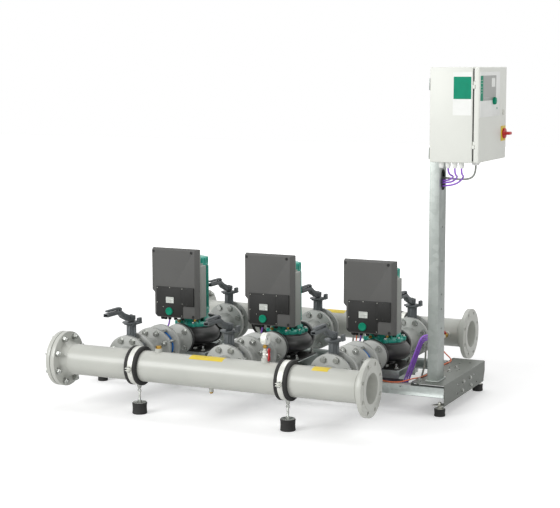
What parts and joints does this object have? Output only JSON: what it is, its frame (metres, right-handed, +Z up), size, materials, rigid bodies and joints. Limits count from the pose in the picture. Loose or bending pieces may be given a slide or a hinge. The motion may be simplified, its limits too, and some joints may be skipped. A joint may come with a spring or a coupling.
{
  "type": "pressure booster set",
  "caption": "Water pressure booster set: inline pumps with vertical motors between two flanged headers, on a galvanised base with a control cabinet on a column.",
  "frame": {"origin": "centre of the base on the floor, under the middle of the headers", "axes": "+X along the headers towards the open flanges and the cabinet, +Y from the suction header to the discharge header, +Z up"},
  "size_m": [2.029, 1.6, 1.547],
  "materials": {
    "header_steel": "satin",
    "branch_steel": "satin",
    "stainless": "satin",
    "valve_paint": "satin",
    "black_coating": "satin",
    "teal_paint": "satin",
    "cover_plastic": "matte",
    "grey_plastic": "matte",
    "display_plastic": "gloss",
    "green_plastic": "satin",
    "galvanised": "satin",
    "black_steel": "satin",
    "rubber": "matte",
    "zinc": "satin",
    "cabinet_paint": "satin",
    "white_plastic": "satin",
    "red_plastic": "satin",
    "brass": "satin",
    "steel_fittings": "satin",
    "purple_sheath": "satin",
    "grey_sheath": "satin"
  },
  "bodies": {
    "frame": {"suction_manifold": "header_steel", "discharge_manifold": "header_steel", "open_end_flanges": "header_steel", "blind_flanges": "header_steel", "suction_spools": "branch_steel", "reducers": "branch_steel", "check_valve_bodies": "stainless", "valve_bodies": "valve_paint", "pump_casings": "black_coating", "motor_brackets": "teal_paint", "motor_housings": "teal_paint", "controller_covers": "cover_plastic", "controller_housings": "grey_plastic", "controller_displays": "display_plastic", "end_plates": "galvanised", "base_rails": "galvanised", "pump_supports": "galvanised", "pump_plates": "black_steel", "cable_duct": "galvanised", "clamp_inlays": "rubber", "clamp_bands": "zinc", "rubber_feet": "rubber", "foot_hardware": "zinc", "column": "galvanised", "cabinet_body": "cabinet_paint", "cabinet_modules": "white_plastic", "cable_glands": "white_plastic", "brass_fittings": "brass", "instruments": "steel_fittings", "signal_leads": "purple_sheath", "supply_lead": "grey_sheath", "sensor_lead": "grey_sheath"},
    "suction_1_stem": {"suction_1_lever": "valve_paint"},
    "suction_1_trigger": {"suction_1_latch": "black_steel"},
    "suction_2_stem": {"suction_2_lever": "valve_paint"},
    "suction_2_trigger": {"suction_2_latch": "black_steel"},
    "suction_3_stem": {"suction_3_lever": "valve_paint"},
    "suction_3_trigger": {"suction_3_latch": "black_steel"},
    "discharge_1_stem": {"discharge_1_lever": "valve_paint"},
    "discharge_1_trigger": {"discharge_1_latch": "black_steel"},
    "discharge_2_stem": {"discharge_2_lever": "valve_paint"},
    "discharge_2_trigger": {"discharge_2_latch": "black_steel"},
    "discharge_3_stem": {"discharge_3_lever": "valve_paint"},
    "discharge_3_trigger": {"discharge_3_latch": "black_steel"},
    "check_flap_1": {"check_flap_1": "stainless"},
    "rotor_1": {"pump_rotor_1": "stainless"},
    "knob_1": {"controller_knob_1": "green_plastic"},
    "check_flap_2": {"check_flap_2": "stainless"},
    "rotor_2": {"pump_rotor_2": "stainless"},
    "knob_2": {"controller_knob_2": "green_plastic"},
    "check_flap_3": {"check_flap_3": "stainless"},
    "rotor_3": {"pump_rotor_3": "stainless"},
    "knob_3": {"controller_knob_3": "green_plastic"},
    "door": {"cabinet_door": "cabinet_paint"},
    "lock": {"door_lock": "zinc"},
    "main_switch": {"main_switch_handle": "red_plastic"},
    "dial": {"operating_dial": "green_plastic"},
    "gauge_lever": {"gauge_cock_lever": "red_plastic"},
    "sensor_lever": {"sensor_cock_lever": "red_plastic"},
    "pointer": {"gauge_pointer": "black_steel"}
  },
  "joints": [
    {"name": "suction_1_turn", "type": "hinge", "parent": "frame", "child": "suction_1_stem", "pos_m": [-0.6145, -0.495, 0.22], "axis": [0, 0, -1], "range_deg": [0, 90]},
    {"name": "suction_1_release", "type": "hinge", "parent": "suction_1_stem", "child": "suction_1_trigger", "pos_m": [-0.6145, -0.6033, 0.4491], "axis": [1, 0, 0], "range_deg": [0, 3], "stiffness_Nm_per_rad": 0.05},
    {"name": "suction_2_turn", "type": "hinge", "parent": "frame", "child": "suction_2_stem", "pos_m": [-0.1045, -0.495, 0.22], "axis": [0, 0, -1], "range_deg": [0, 90]},
    {"name": "suction_2_release", "type": "hinge", "parent": "suction_2_stem", "child": "suction_2_trigger", "pos_m": [-0.1045, -0.6033, 0.4491], "axis": [1, 0, 0], "range_deg": [0, 3], "stiffness_Nm_per_rad": 0.05},
    {"name": "suction_3_turn", "type": "hinge", "parent": "frame", "child": "suction_3_stem", "pos_m": [0.4055, -0.495, 0.22], "axis": [0, 0, -1], "range_deg": [0, 90]},
    {"name": "suction_3_release", "type": "hinge", "parent": "suction_3_stem", "child": "suction_3_trigger", "pos_m": [0.4055, -0.6033, 0.4491], "axis": [1, 0, 0], "range_deg": [0, 3], "stiffness_Nm_per_rad": 0.05},
    {"name": "discharge_1_turn", "type": "hinge", "parent": "frame", "child": "discharge_1_stem", "pos_m": [-0.6145, 0.495, 0.22], "axis": [0, 0, -1], "range_deg": [0, 90]},
    {"name": "discharge_1_release", "type": "hinge", "parent": "discharge_1_stem", "child": "discharge_1_trigger", "pos_m": [-0.6145, 0.3867, 0.4491], "axis": [1, 0, 0], "range_deg": [0, 3], "stiffness_Nm_per_rad": 0.05},
    {"name": "discharge_2_turn", "type": "hinge", "parent": "frame", "child": "discharge_2_stem", "pos_m": [-0.1045, 0.495, 0.22], "axis": [0, 0, -1], "range_deg": [0, 90]},
    {"name": "discharge_2_release", "type": "hinge", "parent": "discharge_2_stem", "child": "discharge_2_trigger", "pos_m": [-0.1045, 0.3867, 0.4491], "axis": [1, 0, 0], "range_deg": [0, 3], "stiffness_Nm_per_rad": 0.05},
    {"name": "discharge_3_turn", "type": "hinge", "parent": "frame", "child": "discharge_3_stem", "pos_m": [0.4055, 0.495, 0.22], "axis": [0, 0, -1], "range_deg": [0, 90]},
    {"name": "discharge_3_release", "type": "hinge", "parent": "discharge_3_stem", "child": "discharge_3_trigger", "pos_m": [0.4055, 0.3867, 0.4491], "axis": [1, 0, 0], "range_deg": [0, 3], "stiffness_Nm_per_rad": 0.05},
    {"name": "check_1_swing", "type": "hinge", "parent": "frame", "child": "check_flap_1", "pos_m": [-0.6145, -0.2827, 0.256], "axis": [1, 0, 0], "range_deg": [0, 45]},
    {"name": "shaft_1_spin", "type": "hinge", "parent": "frame", "child": "rotor_1", "pos_m": [-0.6145, 0.12, 0.22], "axis": [0, 0, 1], "continuous": true},
    {"name": "controller_1_dial", "type": "hinge", "parent": "frame", "child": "knob_1", "pos_m": [-0.6495, -0.0753, 0.36], "axis": [0, -1, 0], "continuous": true},
    {"name": "check_2_swing", "type": "hinge", "parent": "frame", "child": "check_flap_2", "pos_m": [-0.1045, -0.2827, 0.256], "axis": [1, 0, 0], "range_deg": [0, 45]},
    {"name": "shaft_2_spin", "type": "hinge", "parent": "frame", "child": "rotor_2", "pos_m": [-0.1045, 0.12, 0.22], "axis": [0, 0, 1], "continuous": true},
    {"name": "controller_2_dial", "type": "hinge", "parent": "frame", "child": "knob_2", "pos_m": [-0.1395, -0.0753, 0.36], "axis": [0, -1, 0], "continuous": true},
    {"name": "check_3_swing", "type": "hinge", "parent": "frame", "child": "check_flap_3", "pos_m": [0.4055, -0.2827, 0.256], "axis": [1, 0, 0], "range_deg": [0, 45]},
    {"name": "shaft_3_spin", "type": "hinge", "parent": "frame", "child": "rotor_3", "pos_m": [0.4055, 0.12, 0.22], "axis": [0, 0, 1], "continuous": true},
    {"name": "controller_3_dial", "type": "hinge", "parent": "frame", "child": "knob_3", "pos_m": [0.3705, -0.0753, 0.36], "axis": [0, -1, 0], "continuous": true},
    {"name": "door_hinge", "type": "hinge", "parent": "frame", "child": "door", "pos_m": [0.954, -0.2785, 1.345], "axis": [0, 0, -1], "range_deg": [0, 105]},
    {"name": "lock_turn", "type": "hinge", "parent": "door", "child": "lock", "pos_m": [0.9605, 0.069, 1.348], "axis": [1, 0, 0], "range_deg": [0, 90]},
    {"name": "main_switch_turn", "type": "hinge", "parent": "door", "child": "main_switch", "pos_m": [0.9775, 0.07, 1.255], "axis": [1, 0, 0], "range_deg": [0, 90]},
    {"name": "operating_dial_turn", "type": "hinge", "parent": "door", "child": "dial", "pos_m": [0.9775, -0.088, 1.402], "axis": [1, 0, 0], "continuous": true},
    {"name": "gauge_cock_turn", "type": "hinge", "parent": "frame", "child": "gauge_lever", "pos_m": [0.178, -0.675, 0.32285], "axis": [-1, 0, 0], "range_deg": [0, 90]},
    {"name": "sensor_cock_turn", "type": "hinge", "parent": "frame", "child": "sensor_lever", "pos_m": [0.5515, 0.57215, 0.2313], "axis": [0, 0, 1], "range_deg": [0, 90]},
    {"name": "gauge_pointer_turn", "type": "hinge", "parent": "frame", "child": "pointer", "pos_m": [0.1738, -0.675, 0.392], "axis": [1, 0, 0], "range_deg": [-135, 135]}
  ]
}
